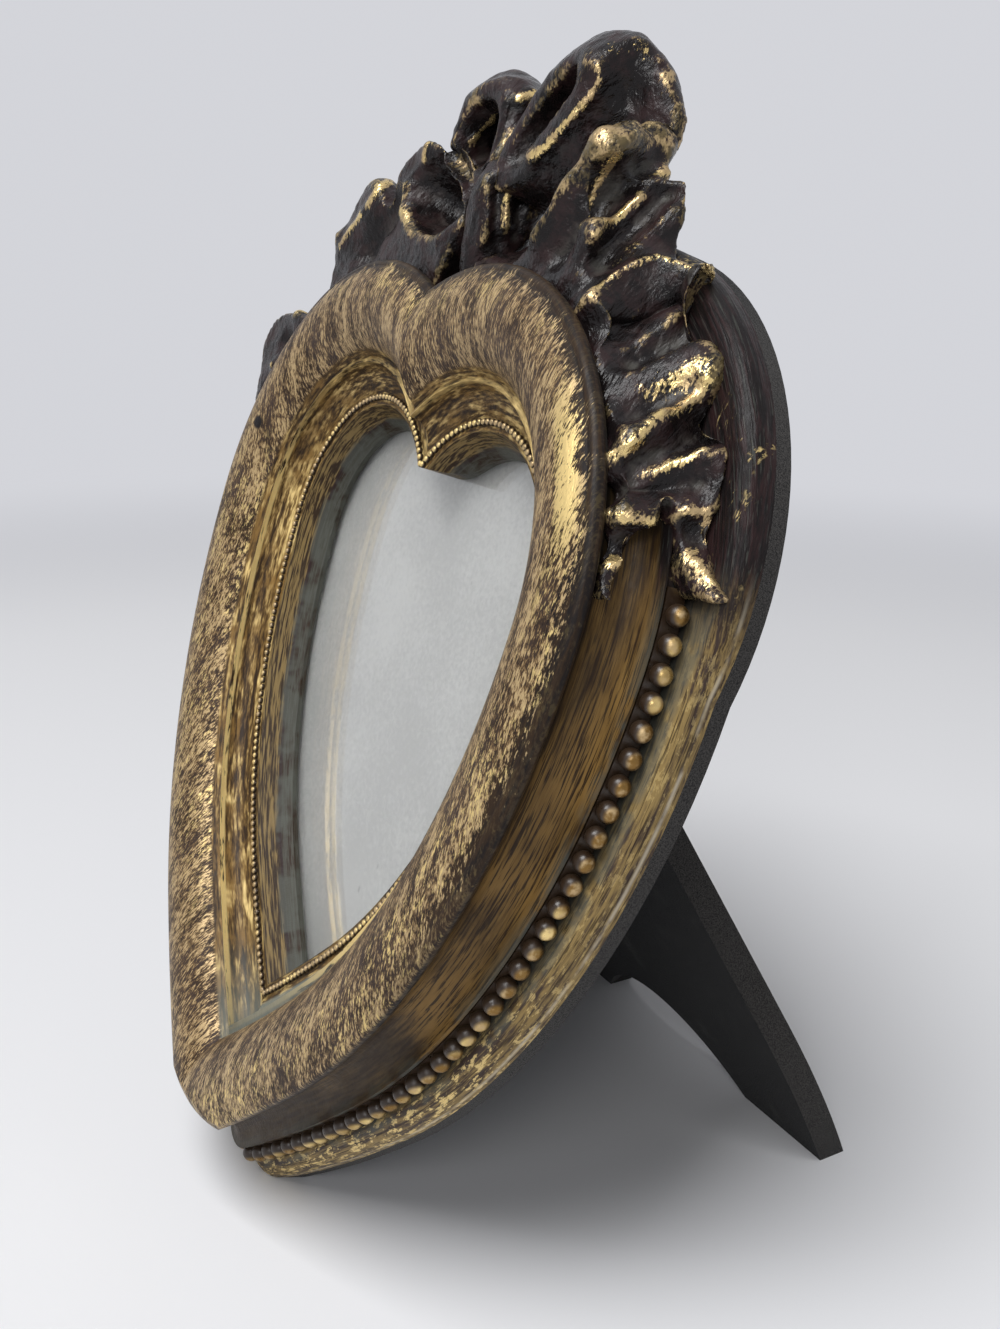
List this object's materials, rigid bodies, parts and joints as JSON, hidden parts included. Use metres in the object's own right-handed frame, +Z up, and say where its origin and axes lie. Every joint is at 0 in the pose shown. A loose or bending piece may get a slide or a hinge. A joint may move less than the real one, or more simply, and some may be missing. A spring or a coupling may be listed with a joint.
{
  "type": "photo frame",
  "caption": "Heart shaped cast photo frame with a pearl border and a ribbon bow, leaning back on a folding velvet easel leg.",
  "frame": {"origin": "on the table, in the middle of the flat that the tip stands on", "axes": "+X is the viewer's right, -Y is the side the frame faces, +Z is up"},
  "size_m": [0.1208, 0.085, 0.1483],
  "materials": {
    "gilt_moulding": "cast resin, dark brown with dry-brushed pale gold",
    "gilt_pearls": "cast resin beads, rubbed gold with dark gaps",
    "gilt_beads": "fine cast beads, pale gold",
    "bronze_ribbon": "cast resin, near-black bronze with gold rubbed on the edges",
    "clear_glass": "clear, polished",
    "grey_card": "plain matt card",
    "packing_card": "plain brown board",
    "black_velvet": "short black pile on board, rubbed at the edges",
    "hinge_brass": "plated, lightly worn",
    "pin_steel": "bright"
  },
  "bodies": {
    "frame": {"heart_moulding": "gilt_moulding", "pearl_beading": "gilt_pearls", "sight_beading": "gilt_beads", "bow_knot": "bronze_ribbon", "bow_loop_left": "bronze_ribbon", "bow_loop_right": "bronze_ribbon", "bow_tail_left": "bronze_ribbon", "bow_tail_right": "bronze_ribbon", "glass_pane": "clear_glass", "photo_card": "grey_card", "filler_board": "packing_card", "back_board": "black_velvet", "rear_velvet_ring": "black_velvet", "hinge_fixed_leaf": "hinge_brass", "hinge_pin": "pin_steel", "hinge_rivets_back": "hinge_brass", "turn_button_screws": "pin_steel"},
    "leg": {"easel_leg": "black_velvet", "hinge_moving_leaf": "hinge_brass", "hinge_rivets_leg": "hinge_brass"},
    "button_upper_right": {"turn_button_upper_right": "hinge_brass"},
    "button_lower_right": {"turn_button_lower_right": "hinge_brass"},
    "button_upper_left": {"turn_button_upper_left": "hinge_brass"},
    "button_lower_left": {"turn_button_lower_left": "hinge_brass"}
  },
  "joints": [
    {"name": "leg_fold", "type": "hinge", "parent": "frame", "child": "leg", "pos_m": [0, 0.03406, 0.08063], "axis": [-1, 0, 0], "range_deg": [0, 42]},
    {"name": "button_turn_upper_right", "type": "hinge", "parent": "frame", "child": "button_upper_right", "pos_m": [0.03361, 0.0392, 0.10133], "axis": [0, 0.9421, -0.3355], "range_deg": [-180, 180]},
    {"name": "button_turn_lower_right", "type": "hinge", "parent": "frame", "child": "button_lower_right", "pos_m": [0.04126, 0.02596, 0.06413], "axis": [0, 0.9421, -0.3355], "range_deg": [-180, 180]},
    {"name": "button_turn_upper_left", "type": "hinge", "parent": "frame", "child": "button_upper_left", "pos_m": [-0.03361, 0.0392, 0.10133], "axis": [0, 0.9421, -0.3355], "range_deg": [-180, 180]},
    {"name": "button_turn_lower_left", "type": "hinge", "parent": "frame", "child": "button_lower_left", "pos_m": [-0.04126, 0.02596, 0.06413], "axis": [0, 0.9421, -0.3355], "range_deg": [-180, 180]}
  ]
}
